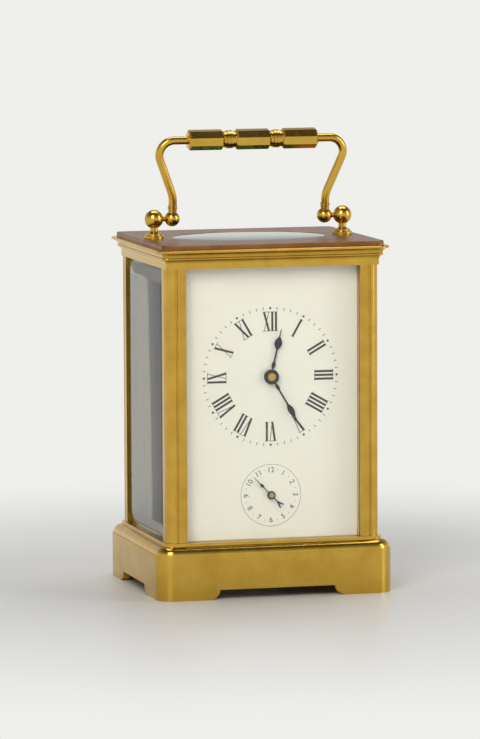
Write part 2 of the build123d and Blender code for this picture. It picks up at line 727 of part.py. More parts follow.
# Positions of the arbors as (x, height)
centre_at = Vector(0, dial_centre_height)
minute_at = centre_at + Vector(motion_distance, 0).rotate(Axis.Z, motion_direction)
minute_module = 2 * motion_distance / (cannon_teeth + minute_wheel_teeth)
hour_module = 2 * motion_distance / (minute_pinion_teeth + hour_wheel_teeth)
alarm_at = Vector(0, alarm_centre_height)
idler_distance = hour_module * (hour_wheel_teeth + alarm_idler_teeth) / 2
half_way = (dial_centre_height - alarm_centre_height) / 2
idler_at = Vector(sqrt(idler_distance ** 2 - half_way ** 2), alarm_centre_height + half_way)
third_distance = centre_module * (centre_wheel_teeth + third_pinion_teeth) / 2
third_at = Vector(third_x, dial_centre_height + sqrt(third_distance ** 2 - third_x ** 2))
contrate_distance = third_module * (third_wheel_teeth + contrate_pinion_teeth) / 2
contrate_at = Vector(0, third_at.Y + sqrt(contrate_distance ** 2 - third_x ** 2))
barrel_distance = barrel_module * (barrel_teeth + centre_pinion_teeth) / 2
barrel_at = Vector(barrel_x, dial_centre_height - sqrt(barrel_distance ** 2 - barrel_x ** 2))
alarm_barrel_at = Vector(alarm_barrel_x, alarm_barrel_height)
alarm_distance = alarm_module * (alarm_barrel_teeth + alarm_pinion_teeth) / 2
alarm_escape_at = alarm_barrel_at + Vector(alarm_distance, 0).rotate(Axis.Z, alarm_pinion_direction)
hammer_at = Vector(hammer_x, hammer_height)


# Direction from one arbor to the next, in degrees
def direction(start, end):
    return degrees(atan2(end.Y - start.Y, end.X - start.X))


# Depths of the motion work between dial and front plate
minute_layer_back = front_plate_front - 0.2
minute_layer_depth = 0.8
hour_layer_back = minute_layer_back - minute_layer_depth - 0.35
hour_layer_depth = 0.9
hour_hand_back = dial_front - hand_layer
minute_hand_back = hour_hand_back - hand_thickness - hand_layer
alarm_hand_back = dial_front - hand_layer
pivot_hole = arbor_radius + running
winding_radius = 1.5
plate_pillar_spots = [(sx * plate_pillar_x, z) for sx in (-1, 1) for z in
                      (base_height + plate_pillar_edge, plate_top - plate_pillar_edge)]


# One movement plate with its pivot holes
def movement_plate(back, holes):
    with BuildPart() as plate:
        with BuildSketch(facing(back)) as outline:
            with Locations((0, base_height + plate_height / 2)):
                Rectangle(plate_width, plate_height)
            fillet(outline.vertices().group_by(Axis.Z)[-1], radius=3)
            for spot, radius in holes:
                with Locations((spot.X, spot.Y)):
                    Circle(radius, mode=Mode.SUBTRACT)
            with Locations(*plate_pillar_spots):
                Circle(clock_screw_radius + running, mode=Mode.SUBTRACT)
        extrude(amount=plate_thickness)
        with Locations(*[(sx * seat_screw_x, back - plate_thickness / 2, base_height) for sx in (-1, 1)]):
            Cylinder(clock_screw_radius + running, clock_screw_bite,
                     align=(Align.CENTER, Align.CENTER, Align.MIN), mode=Mode.SUBTRACT)
        with Locations(*[(sx * seat_screw_x, back - plate_thickness / 2, plate_top) for sx in (-1, 1)]):
            Cylinder(clock_screw_radius + running, clock_screw_bite,
                     align=(Align.CENTER, Align.CENTER, Align.MAX), mode=Mode.SUBTRACT)
    return plate.part


train_holes = [(third_at, pivot_hole), (contrate_at, pivot_hole), (alarm_escape_at, pivot_hole),
               (hammer_at, pivot_hole), (alarm_at, alarm_arbor_radius + running),
               (centre_at, pivot_hole), (barrel_at, winding_radius + running),
               (alarm_barrel_at, winding_radius + running)]
save(movement_plate(back_plate_back, train_holes), "back_plate")

# The front plate also carries the studs of the minute wheel and of the alarm idler
with BuildPart() as front_plate:
    add(movement_plate(front_plate_back, train_holes))
    with BuildSketch(facing(front_plate_front)):
        with Locations((minute_at.X, minute_at.Y), (idler_at.X, idler_at.Y)):
            Circle(arbor_radius)
    extrude(amount=motion_work_depth - 0.5)
save(front_plate.part, "front_plate")

with BuildPart() as movement_pillars:
    with BuildSketch(facing(back_plate_front)):
        with Locations(*plate_pillar_spots):
            Circle(plate_pillar_radius * 0.7)
            Circle(clock_screw_radius, mode=Mode.SUBTRACT)
    extrude(amount=between_plates)
    for back, length in ((back_plate_front, plate_pillar_collar),
                         (front_plate_back + plate_pillar_collar, plate_pillar_collar),
                         ((back_plate_front + front_plate_back + plate_pillar_belt) / 2, plate_pillar_belt)):
        with BuildSketch(facing(back)):
            with Locations(*plate_pillar_spots):
                Circle(plate_pillar_radius)
                Circle(clock_screw_radius, mode=Mode.SUBTRACT)
        extrude(amount=length)
save(movement_pillars.part, "movement_pillars")

# Clock screws: plates to pillars, platform to plates and plates to the base plate
screw_seats = []
for spot in plate_pillar_spots:
    screw_seats.append(Plane(origin=(spot[0], front_plate_front, spot[1]), z_dir=(0, -1, 0)))
    screw_seats.append(Plane(origin=(spot[0], back_plate_back, spot[1]), z_dir=(0, 1, 0)))
for sx in (-1, 1):
    for y in plate_middles:
        screw_seats.append(Plane(origin=(sx * seat_screw_x, y, platform_top), z_dir=(0, 0, 1)))
        screw_seats.append(Plane(origin=(sx * seat_screw_x, y, base_height - base_plate_thickness),
                                 z_dir=(0, 0, -1)))
with BuildPart() as clock_screws:
    for seat in screw_seats:
        with BuildSketch(seat):
            Circle(clock_screw_head)
        extrude(amount=clock_screw_head_height)
        with BuildSketch(seat):
            Circle(clock_screw_radius)
        extrude(amount=-clock_screw_bite - 1.2)
        with BuildSketch(seat.offset(clock_screw_head_height)):
            Rectangle(2 * clock_screw_head, 0.5)
        extrude(amount=-clock_screw_head_height / 2, mode=Mode.SUBTRACT)
save(clock_screws.part, "clock_screws")


# Wheel with its teeth, forward from the plane at back; a hub as wide as the rim leaves out the spokes
def wheel(back, at, teeth, module, phase, thickness, bore, hub):
    with BuildPart() as blank:
        with BuildSketch(facing(back, at.X, at.Y)):
            add(gear_face(teeth, module, phase))
            rim = teeth * module / 2 - dedendum * module - wheel_rim
            if rim > hub + 2:
                add(spoke_openings(rim, hub, spoke_count, spoke_width), mode=Mode.SUBTRACT)
            Circle(bore, mode=Mode.SUBTRACT)
        extrude(amount=thickness)
    return blank.part


# Round bar along Y between two depths
def bar(at, front, back, radius):
    with BuildPart() as turned:
        with BuildSketch(facing(back, at.X, at.Y)):
            Circle(radius)
        extrude(amount=back - front)
    return turned.part


# Tube along Y between two depths
def tube(at, front, back, radius, bore):
    with BuildPart() as turned:
        with BuildSketch(facing(back, at.X, at.Y)):
            Circle(radius)
            Circle(bore, mode=Mode.SUBTRACT)
        extrude(amount=back - front)
    return turned.part


# Motion work
with BuildPart() as cannon_pinion:
    add(wheel(minute_layer_back, centre_at, cannon_teeth, minute_module, 0, minute_layer_depth,
              cannon_bore, solid_hub))
    add(tube(centre_at, minute_hand_back - hand_thickness, minute_layer_back, cannon_outer, cannon_bore))
save(cannon_pinion.part, "cannon_pinion")

minute_direction = direction(centre_at, minute_at)
minute_phase = mesh_phase(0, cannon_teeth, minute_direction, minute_wheel_teeth)
with BuildPart() as minute_wheel:
    add(wheel(minute_layer_back, minute_at, minute_wheel_teeth, minute_module, minute_phase, minute_layer_depth,
              pivot_hole, 2.2))
    add(wheel(minute_layer_back - minute_layer_depth, minute_at, minute_pinion_teeth, hour_module, 0,
              minute_layer_back - minute_layer_depth - hour_layer_back + hour_layer_depth, pivot_hole, solid_hub))
save(minute_wheel.part, "minute_wheel")

hour_phase = mesh_phase(0, minute_pinion_teeth, minute_direction + 180, hour_wheel_teeth)
with BuildPart() as hour_wheel:
    add(wheel(hour_layer_back, centre_at, hour_wheel_teeth, hour_module, hour_phase, hour_layer_depth,
              hour_bore, 2.6))
    add(tube(centre_at, hour_hand_back - hand_thickness, hour_layer_back, hour_outer, hour_bore))
save(hour_wheel.part, "hour_wheel")

idler_phase = mesh_phase(hour_phase, hour_wheel_teeth, direction(centre_at, idler_at), alarm_idler_teeth)
save(wheel(hour_layer_back, idler_at, alarm_idler_teeth, hour_module, idler_phase, hour_layer_depth,
           pivot_hole, 3), "alarm_idler")

alarm_phase = mesh_phase(idler_phase, alarm_idler_teeth, direction(idler_at, alarm_at), hour_wheel_teeth)
save(wheel(hour_layer_back, alarm_at, hour_wheel_teeth, hour_module, alarm_phase, hour_layer_depth,
           alarm_arbor_radius + running, 2.6), "alarm_wheel")


# Outline of a hand that points along +y: pairs of (distance from the centre, half width)
def hand_face(stations, angle, hub):
    left = [(-half, reach) for reach, half in stations]
    right = [(half, reach) for reach, half in reversed(stations)]
    with BuildSketch() as face:
        Polygon(*(left + right), align=None, rotation=-angle)
        Circle(hub)
    return face.sketch


# Half width of the spade and of the leaf, by distance from the hub
def spade(reach, middle, length, half_width):
    along = (reach - middle) / length
    return half_width * max(0.0, 1 - along ** 2) ** 1.5


# Outline of a tapered hand with a leaf near its hub and a spade further out
def hand_stations(length, spade_at, spade_length, spade_half, leaf_at, leaf_half):
    stations = []
    steps = 48
    for step in range(steps + 1):
        reach = 1 + (length - 1) * step / steps
        shaft = 0.3 if reach < spade_at else 0.3 - 0.22 * (reach - spade_at) / (length - spade_at)
        half = max(shaft, spade(reach, spade_at, spade_length, spade_half), spade(reach, leaf_at, 2.2, leaf_half))
        stations.append((reach, half))
    return stations


with BuildPart() as minute_hand:
    with BuildSketch(facing(minute_hand_back, 0, dial_centre_height)):
        add(hand_face(hand_stations(minute_hand_length, 15, 3.6, 1.15, 4.6, 0.65), minute_hand_angle, hub_radius))
        Circle(cannon_outer, mode=Mode.SUBTRACT)
    extrude(amount=hand_thickness)
save(minute_hand.part, "minute_hand")

with BuildPart() as hour_hand:
    with BuildSketch(facing(hour_hand_back, 0, dial_centre_height)):
        add(hand_face(hand_stations(hour_hand_length, 13, 3.0, 1.5, 4.6, 0.7), hour_hand_angle, hub_radius * 0.95))
        Circle(hour_outer, mode=Mode.SUBTRACT)
    extrude(amount=hand_thickness)
save(hour_hand.part, "hour_hand")

# Brass collet that holds the minute hand on the end of the cannon
with BuildPart() as hand_collet:
    with BuildSketch(facing(minute_hand_back - hand_thickness, 0, dial_centre_height)):
        Circle(hub_cap_radius)
    extrude(amount=0.45)
    fillet(hand_collet.edges().group_by(Axis.Y)[0], radius=0.2)
save(hand_collet.part, "hand_collet")

with BuildPart() as alarm_hand:
    with BuildSketch(facing(alarm_hand_back, 0, alarm_centre_height)):
        alarm_stations = [(1, 0.16), (4.2, 0.14), (4.9, 0.5), (5.6, 0.5), (6.4, 0.14), (alarm_hand_length, 0.07)]
        add(hand_face(alarm_stations, alarm_hand_angle, alarm_hub_radius))
        tail = [(-0.14, -1), (-0.2, -3.4), (-1.1, -alarm_hand_tail), (-0.7, -alarm_hand_tail - 0.1), (0, -4.4),
                (0.7, -alarm_hand_tail - 0.1), (1.1, -alarm_hand_tail), (0.2, -3.4), (0.14, -1)]
        Polygon(*tail, align=None, rotation=-alarm_hand_angle)
        Circle(alarm_arbor_radius, mode=Mode.SUBTRACT)
    extrude(amount=hand_thickness)
save(alarm_hand.part, "alarm_hand")

# Arbor that sets the alarm hand, with a square at the back
square_start = back_plate_back + 1.5
square_end = back_plate_back + winding_reach
with BuildPart() as alarm_arbor:
    add(bar(alarm_at, alarm_hand_back - hand_thickness, square_start, alarm_arbor_radius))
    add(bar(alarm_at, alarm_hand_back - hand_thickness - 0.3, alarm_hand_back - hand_thickness, 1.0))
    with BuildSketch(facing(square_end, 0, alarm_centre_height)):
        Rectangle(winding_square / 2, winding_square / 2)
    extrude(amount=square_end - square_start)
save(alarm_arbor.part, "alarm_arbor")

# Going train: barrel, centre wheel, third wheel and contrate wheel
train_front = front_plate_back + 1.6
third_phase = mesh_phase(0, contrate_pinion_teeth, direction(contrate_at, third_at), third_wheel_teeth)
centre_phase = mesh_phase(0, third_pinion_teeth, direction(third_at, centre_at), centre_wheel_teeth)
barrel_phase = mesh_phase(0, centre_pinion_teeth, direction(centre_at, barrel_at), barrel_teeth)
arbor_end = back_plate_back - 0.2
arbor_start = front_plate_front + 0.2
barrel_radius = barrel_module * barrel_teeth / 2 - dedendum * barrel_module - 0.6
centre_wheel_back = back_plate_front - 4.4
third_wheel_back = front_plate_back + 10
with BuildPart() as centre_wheel:
    add(bar(centre_at, minute_hand_back - hand_thickness + 0.1, arbor_end, arbor_radius))
    add(wheel(centre_wheel_back, centre_at, centre_wheel_teeth, centre_module, centre_phase, wheel_thickness,
              arbor_radius, 2.4))
    add(wheel(train_front + 5, centre_at, centre_pinion_teeth, barrel_module, 0, 5, arbor_radius, solid_hub))
save(centre_wheel.part, "centre_wheel")

with BuildPart() as third_wheel:
    add(bar(third_at, arbor_start, arbor_end, arbor_radius))
    add(wheel(third_wheel_back, third_at, third_wheel_teeth, third_module, third_phase, wheel_thickness,
              arbor_radius, 2.2))
    add(wheel(centre_wheel_back + 1, third_at, third_pinion_teeth, centre_module, 0, pinion_length,
              arbor_radius, solid_hub))
save(third_wheel.part, "third_wheel")

with BuildPart() as going_barrel:
    add(wheel(train_front + 3.4, barrel_at, barrel_teeth, barrel_module, barrel_phase, 1.8,
              winding_radius + running, solid_hub))
    add(tube(barrel_at, train_front + 3.4, train_front + barrel_length, barrel_radius, winding_radius + running))
    with BuildPart(mode=Mode.PRIVATE) as barrel_room:
        add(tube(barrel_at, train_front + 3.4 + barrel_shell, train_front + barrel_length - barrel_shell,
                 barrel_radius - barrel_shell, winding_radius + running + barrel_shell))
    add(barrel_room.part, mode=Mode.SUBTRACT)
save(going_barrel.part, "going_barrel")

# The contrate wheel has its teeth on one side, in mesh with the upright pinion of the escape wheel
tooth_tip_depth = 0.55
crown_tooth = 0.24
crown_height = 0.6
escape_y = train_front + 13.65
crown_tip = escape_y - tooth_tip_depth
with BuildPart() as contrate_wheel:
    add(bar(contrate_at, arbor_start, arbor_end, arbor_radius))
    add(wheel(third_wheel_back + 1, contrate_at, contrate_pinion_teeth, third_module, 0, pinion_length,
              arbor_radius, solid_hub))
    with BuildSketch(facing(crown_tip - crown_height, 0, contrate_at.Y)):
        Circle(contrate_radius + 0.6)
        add(spoke_openings(contrate_radius - 1.2, 1.8, spoke_count, 1.0), mode=Mode.SUBTRACT)
        Circle(arbor_radius, mode=Mode.SUBTRACT)
    extrude(amount=0.8)
    with BuildSketch(facing(crown_tip, 0, contrate_at.Y)):
        with PolarLocations(contrate_radius, contrate_teeth, start_angle=90):
            Rectangle(1.2, crown_tooth)
    extrude(amount=crown_height)
save(contrate_wheel.part, "contrate_wheel")

# Winding arbors, squared at both the ratchet and the key end
for at, arbor_name in ((barrel_at, "time_winding_arbor"), (alarm_barrel_at, "alarm_winding_arbor")):
    with BuildPart() as winder:
        add(bar(at, front_plate_front + 0.2, back_plate_back + 0.3, winding_radius))
        with BuildSketch(facing(square_end, at.X, at.Y)):
            Rectangle(winding_square, winding_square)
        extrude(amount=square_end - back_plate_back - 0.3)
    save(winder.part, arbor_name)

# Ratchet wheels and their clicks on the back plate
ratchet_back = back_plate_back + 1.7
for at, ratchet_name in ((barrel_at, "time_ratchet"), (alarm_barrel_at, "alarm_ratchet")):
    with BuildPart() as ratchet:
        with BuildSketch(facing(ratchet_back, at.X, at.Y)):
            add(raked_face(ratchet_teeth, ratchet_radius, 0.8))
            Rectangle(winding_square, winding_square, mode=Mode.SUBTRACT)
        extrude(amount=1.4)
    save(ratchet.part, ratchet_name)

with BuildPart() as clicks:
    for at in (barrel_at, alarm_barrel_at):
        reach = ratchet_radius + 0.25
        with BuildSketch(facing(ratchet_back, at.X, at.Y)):
            Polygon((-reach, -0.2), (-reach - 0.3, 1.4), (-reach - 3.4, 6.4), (-reach - 5, 5.4), (-reach - 1.4, 0.4),
                    align=None)
            with Locations((-reach - 4.2, 5.9)):
                Circle(1.3)
        extrude(amount=1.2)
        with BuildSketch(facing(back_plate_back + 2.4, at.X, at.Y)):
            with Locations((-reach - 4.2, 5.9)):
                Circle(0.9)
        extrude(amount=2.4)
save(clicks.part, "clicks")

# Alarm barrel and its escape wheel
alarm_pinion_phase = mesh_phase(0, alarm_barrel_teeth, alarm_pinion_direction, alarm_pinion_teeth)
alarm_barrel_radius = alarm_module * alarm_barrel_teeth / 2 - dedendum * alarm_module - 0.5
with BuildPart() as alarm_barrel:
    add(wheel(train_front + 3.4, alarm_barrel_at, alarm_barrel_teeth, alarm_module, 0, 1.8,
              winding_radius + running, solid_hub))
    add(tube(alarm_barrel_at, train_front + 3.4, train_front + barrel_length, alarm_barrel_radius,
             winding_radius + running))
    with BuildPart(mode=Mode.PRIVATE) as alarm_room:
        add(tube(alarm_barrel_at, train_front + 3.4 + barrel_shell, train_front + barrel_length - barrel_shell,
                 alarm_barrel_radius - barrel_shell, winding_radius + running + barrel_shell))
    add(alarm_room.part, mode=Mode.SUBTRACT)
save(alarm_barrel.part, "alarm_barrel")

with BuildPart() as alarm_escape_wheel:
    add(bar(alarm_escape_at, arbor_start, arbor_end, arbor_radius))
    add(wheel(train_front + 4, alarm_escape_at, alarm_pinion_teeth, alarm_module, alarm_pinion_phase,
              pinion_length, arbor_radius, solid_hub))
    with BuildSketch(facing(back_plate_front - 6, alarm_escape_at.X, alarm_escape_at.Y)):
        add(raked_face(18, alarm_escape_radius, 1.0))
    extrude(amount=wheel_thickness)
save(alarm_escape_wheel.part, "alarm_escape_wheel")

# Hammer: arbor, rod down through the base plate, and head beside the bell
rod_length = hypot(rod_run, rod_fall)
with BuildPart() as hammer:
    with BuildSketch(facing(arbor_end, hammer_x, hammer_height)):
        Circle(arbor_radius)
    extrude(amount=arbor_end - arbor_start)
    with BuildSketch(facing(hammer_y + 1.5, hammer_x, hammer_height)):
        Circle(1.6)
    extrude(amount=3)
    with BuildSketch(Plane(origin=(hammer_x, hammer_y, hammer_height), z_dir=(-rod_run, 0, -rod_fall))):
        Circle(hammer_rod_radius)
    extrude(amount=rod_length)
    with BuildSketch(Plane.YZ.offset(head_x - hammer_head_radius)):
        with Locations((hammer_y, head_height)):
            Circle(0.8 * hammer_head_radius)
    extrude(amount=2 * hammer_head_radius)
save(hammer.part, "hammer")

# Bell: a turned dome with a flat crown, hung from the base plate
bell_top = bell_floor + bell_height
with BuildPart() as bell:
    with BuildSketch(Plane.XZ):
        with BuildLine():
            outer = ThreePointArc((bell_crown_radius, bell_top),
                                  (bell_radius - 1.6, bell_floor + bell_height * 0.62), (bell_radius, bell_floor))
            Line(outer @ 1, (bell_radius - bell_wall, bell_floor))
            inner = ThreePointArc((bell_radius - bell_wall, bell_floor),
                                  (bell_radius - 1.6 - bell_wall, bell_floor + bell_height * 0.62 - bell_wall * 0.4),
                                  (bell_crown_radius - bell_wall / 2, bell_top - bell_wall))
            Polyline(inner @ 1, (case_screw_radius + running, bell_top - bell_wall),
                     (case_screw_radius + running, bell_top), outer @ 0)
        make_face()
    revolve(axis=Axis.Z)
save(bell.part, "bell")

bell_post_height = base_height - base_plate_thickness - bell_top
with BuildPart() as bell_screw:
    with Locations((0, 0, bell_top)):
        Cylinder(2.2, bell_post_height, align=(Align.CENTER, Align.CENTER, Align.MIN))
    with Locations((0, 0, bell_top - bell_wall)):
        Cylinder(case_screw_radius, bell_wall + bell_post_height + base_plate_thickness,
                 align=(Align.CENTER, Align.CENTER, Align.MIN))
        Cylinder(case_screw_head, case_screw_head_height, align=(Align.CENTER, Align.CENTER, Align.MAX))
save(bell_screw.part, "bell_screw")

# Platform across the tops of the plates, with the upright escapement
lever_y = escape_y + lever_distance
balance_y = escape_y + balance_distance
platform_front = front_plate_front
platform_depth = back_plate_back - front_plate_front
cock_foot_x = 13.5
with BuildPart() as platform_plate:
    with BuildSketch(Plane.XY.offset(plate_top)):
        with Locations((0, platform_front + platform_depth / 2)):
            Rectangle(platform_width, platform_depth)
        with Locations((0, escape_y)):
            Circle(1.6, mode=Mode.SUBTRACT)
        with Locations((0, lever_y), (0, balance_y)):
            Circle(pivot_hole, mode=Mode.SUBTRACT)
        with Locations(*[(sx * seat_screw_x, y) for sx in (-1, 1) for y in plate_middles]):
            Circle(clock_screw_radius + running, mode=Mode.SUBTRACT)
    extrude(amount=platform_thickness)
save(platform_plate.part, "platform_plate")

# Escape wheel with its seven-leaved pinion below the platform
leaf_thickness = 0.2
leaf_tip = 1.05
pinion_low = contrate_at.Y + contrate_radius - 1.3
with BuildPart() as escape_wheel:
    with BuildSketch(Plane.XY.offset(pinion_low)):
        with Locations((0, escape_y)):
            Circle(0.42)
    extrude(amount=platform_top + escape_height + 1.6 - pinion_low)
    with BuildSketch(Plane.XY.offset(pinion_low)):
        with Locations((0, escape_y)):
            with PolarLocations(0, escape_pinion_leaves, start_angle=90):
                Rectangle(leaf_tip, leaf_thickness, align=(Align.MIN, Align.CENTER))
    extrude(amount=2.6)
    with BuildSketch(Plane.XY.offset(platform_top + escape_height)):
        with Locations((0, escape_y)):
            add(raked_face(escape_teeth, escape_radius, 1.3))
    extrude(amount=0.4)
save(escape_wheel.part, "escape_wheel")

# Pallet lever: its pallets stay just outside the escape wheel, its fork just outside the roller
pallet_x = 3.0
pallet_y = lever_distance - sqrt((escape_radius + 0.55) ** 2 - pallet_x ** 2)
fork_reach = balance_distance - lever_distance - roller_radius - 0.6
with BuildPart() as pallet_lever:
    with BuildSketch(Plane.XY.offset(platform_top + escape_height)):
        with Locations((0, lever_y)):
            Polygon((-pallet_x, -pallet_y), (-pallet_x + 0.5, -pallet_y - 0.1), (-0.5, -0.8), (0.5, -0.8),
                    (pallet_x - 0.5, -pallet_y - 0.1), (pallet_x, -pallet_y), (pallet_x + 0.3, -pallet_y + 0.6),
                    (0.45, 0.8), (0.3, fork_reach - 0.9), (0.75, fork_reach - 0.5), (0.75, fork_reach),
                    (0.45, fork_reach), (0.35, fork_reach - 0.5), (-0.35, fork_reach - 0.5), (-0.45, fork_reach),
                    (-0.75, fork_reach), (-0.75, fork_reach - 0.5), (-0.3, fork_reach - 0.9), (-0.45, 0.8),
                    (-pallet_x - 0.3, -pallet_y + 0.6), align=None)
    extrude(amount=0.5)
    with Locations((0, lever_y, plate_top)):
        Cylinder(arbor_radius - 0.1, platform_thickness + escape_height + 1.5,
                 align=(Align.CENTER, Align.CENTER, Align.MIN))
save(pallet_lever.part, "pallet_lever")

# Balance: rim, two arms, staff and roller
balance_low = platform_top + balance_height
with BuildPart() as balance_wheel:
    with BuildSketch(Plane.XY.offset(balance_low)):
        with Locations((0, balance_y)):
            Circle(balance_radius)
            Circle(balance_radius - balance_rim, mode=Mode.SUBTRACT)
            Rectangle(2 * balance_radius - balance_rim, 1.1)
            Circle(1.2)
    extrude(amount=0.8)
    with Locations((0, balance_y, plate_top + 0.2)):
        Cylinder(arbor_radius - 0.15, cock_height + platform_thickness - 0.3,
                 align=(Align.CENTER, Align.CENTER, Align.MIN))
    with Locations((0, balance_y, platform_top + escape_height)):
        Cylinder(roller_radius, 0.5, align=(Align.CENTER, Align.CENTER, Align.MIN))
    for turn in range(8):
        angle = 2 * pi * (turn + 0.5) / 8
        with Locations((balance_radius * cos(angle), balance_y + balance_radius * sin(angle), balance_low + 0.4)):
            Sphere(0.45)
save(balance_wheel.part, "balance_wheel")

# Hairspring: half turns whose radius grows by half the pitch each time
hairspring_pitch = hairspring_wire + 0.45
spring_z = balance_low + hairspring_height
with BuildPart() as hairspring:
    with BuildLine(Plane.XY.offset(spring_z)) as coil:
        edge_x = hairspring_inner
        for half_turn in range(2 * hairspring_turns):
            sign = 1 if half_turn % 2 == 0 else -1
            radius = hairspring_inner + half_turn * hairspring_pitch / 2
            middle = sign * edge_x - sign * radius
            CenterArc((middle, balance_y), radius, 0 if sign > 0 else 180, 180)
            edge_x = radius - sign * middle
    with BuildSketch(Plane(origin=coil.wire() @ 0, z_dir=coil.wire() % 0)):
        Circle(hairspring_wire / 2)
    sweep()
save(hairspring.part, "hairspring")
print("least gap between hairspring turns", round(hairspring_pitch - hairspring_wire, 3))

# Cock that holds the top pivot of the balance, and the regulator on it
with BuildPart() as balance_cock:
    with BuildSketch(Plane.XY.offset(platform_top)):
        with Locations((cock_foot_x, balance_y)):
            Rectangle(5, 9)
    extrude(amount=cock_height)
    with BuildSketch(Plane.XY.offset(platform_top + cock_height - cock_thickness)):
        with Locations((cock_foot_x / 2, balance_y)):
            Rectangle(cock_foot_x, 4)
        with Locations((0, balance_y)):
            Circle(3)
            Circle(arbor_radius - 0.1, mode=Mode.SUBTRACT)
    extrude(amount=cock_thickness)
save(balance_cock.part, "balance_cock")

with BuildPart() as regulator_index:
    with BuildSketch(Plane.XY.offset(platform_top + cock_height)):
        with Locations((0, balance_y)):
            Circle(2.0)
            Polygon((-0.5, 0), (-0.35, 9), (0, 10), (0.35, 9), (0.5, 0), align=None, rotation=35)
    extrude(amount=0.5)
save(regulator_index.part, "regulator_index")
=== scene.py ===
import json
from math import cos, pi, radians, sin

import bmesh
import bpy
from mathutils import Matrix, Vector


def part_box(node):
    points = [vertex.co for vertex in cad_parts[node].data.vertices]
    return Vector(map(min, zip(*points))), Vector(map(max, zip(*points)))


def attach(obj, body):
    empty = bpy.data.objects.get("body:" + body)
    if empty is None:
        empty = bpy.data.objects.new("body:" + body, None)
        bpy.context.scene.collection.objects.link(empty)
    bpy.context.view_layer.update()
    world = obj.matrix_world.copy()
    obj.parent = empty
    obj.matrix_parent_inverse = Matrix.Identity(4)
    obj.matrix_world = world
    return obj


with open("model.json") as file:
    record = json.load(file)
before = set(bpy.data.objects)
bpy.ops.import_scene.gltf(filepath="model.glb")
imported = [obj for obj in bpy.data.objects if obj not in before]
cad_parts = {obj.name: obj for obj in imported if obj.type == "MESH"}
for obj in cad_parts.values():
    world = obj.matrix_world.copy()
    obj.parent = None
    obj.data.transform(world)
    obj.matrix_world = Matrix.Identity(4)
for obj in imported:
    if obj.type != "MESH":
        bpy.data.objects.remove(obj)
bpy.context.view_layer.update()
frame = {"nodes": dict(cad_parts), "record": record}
nodes = frame["nodes"]
mm = 0.001


# Middle of a CAD piece's box
def middle_of(name):
    low, high = (Vector(corner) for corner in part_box(name))
    return (low + high) / 2


# Places that the prints take from the frame
dial_front = min(corner[1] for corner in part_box("dial_plate"))
dial_centre = middle_of("hand_collet")
alarm_centre = middle_of("alarm_arbor")
print_height = 0.04 * mm

# Prints on the dial, in millimetres: hour numerals, minute track, and the alarm dial's ring, dots and figures
numeral_foot = 17.3
numeral_height = 7.45
thick = 0.82
thin = 0.24
serif = 0.2
serif_gap = 0.12
slant_margin = 0.55
v_shift = 0.1
advance = {"I": 1.45, "V": 3.0, "X": 3.1}
minute_foot = 25.55
minute_length = 1.1
minute_width = 0.24
five_mark_at = 26.1
five_mark_radius = 0.55
alarm_ring_radius = 11.8
alarm_ring_width = 0.12
alarm_dot_at = 9.9
alarm_dot_radius = 0.16
alarm_figure_at = 9.6
alarm_figure_size = 2.9

# Camera: solved from the corners of the case in the photograph, which is 480 by 739 pixels
photo_height = 739
focal_pixels = 5159
camera_distance = 1996.5 * mm
camera_yaw = radians(14.87)
camera_pitch = radians(5.99)
camera_roll = radians(-0.26)
aim_right = -3.55 * mm
aim_height = 83.2 * mm


# sRGB hex to a linear colour
def paint(code):
    channels = [int(code[i:i + 2], 16) / 255 for i in (0, 2, 4)]
    linear = [c / 12.92 if c <= 0.04045 else ((c + 0.055) / 1.055) ** 2.4 for c in channels]
    return (*linear, 1.0)


# Adds one node with its settings and its links
def put(tree, kind, links=None, **settings):
    node = tree.nodes.new(kind)
    for key, value in settings.items():
        if key in node.inputs:
            node.inputs[key].default_value = value
        else:
            setattr(node, key, value)
    for key, source in (links or {}).items():
        tree.links.new(source, node.inputs[key])
    return node


# New material with an empty node tree
def blank(name):
    material = bpy.data.materials.new(name)
    material.use_nodes = True
    material.node_tree.nodes.clear()
    return material, material.node_tree


# Noise over a vector
def noise(tree, vector, scale, detail):
    return put(tree, "ShaderNodeTexNoise", {"Vector": vector}, Scale=scale, Detail=detail).outputs["Fac"]


# Colour ramp from one place and colour to another
def ramp(tree, source, low, low_colour, high, high_colour):
    node = put(tree, "ShaderNodeValToRGB", {"Fac": source})
    first, last = node.color_ramp.elements
    first.position = low
    first.color = low_colour
    last.position = high
    last.color = high_colour
    return node.outputs["Color"]


# Lacquered brass: gilt yellow, with darker tarnish clouds about 9 mm wide, tiny spots and fine hairlines
def brass(name, light, dark, spot, roughness, grain, stretch):
    material, tree = blank(name)
    place = put(tree, "ShaderNodeTexCoord")
    clouds = noise(tree, place.outputs["Object"], 110.0, 5.0)
    tone = ramp(tree, clouds, 0.32, paint(dark), 0.68, paint(light))
    specks = noise(tree, place.outputs["Object"], 900.0, 3.0)
    speck = ramp(tree, specks, 0.71, (0, 0, 0, 1), 0.79, (0.5, 0.5, 0.5, 1))
    colour = put(tree, "ShaderNodeMix", data_type="RGBA")
    tree.links.new(speck, colour.inputs[0])
    tree.links.new(tone, colour.inputs[6])
    colour.inputs[7].default_value = paint(spot)
    lines = put(tree, "ShaderNodeMapping", {"Vector": place.outputs["Object"]}, Scale=stretch)
    hair = noise(tree, lines.outputs["Vector"], grain, 4.0)
    gloss = put(tree, "ShaderNodeMapRange", {"Value": hair}, **{"To Min": roughness - 0.07,
                "To Max": roughness + 0.10})
    bump = put(tree, "ShaderNodeBump", {"Height": hair}, Strength=0.06, Distance=0.05 * mm)
    surface = put(tree, "ShaderNodeBsdfPrincipled", {"Base Color": colour.outputs[2],
                  "Roughness": gloss.outputs["Result"], "Normal": bump.outputs["Normal"]}, Metallic=1.0)
    put(tree, "ShaderNodeOutputMaterial", {"Surface": surface.outputs["BSDF"]})
    return material


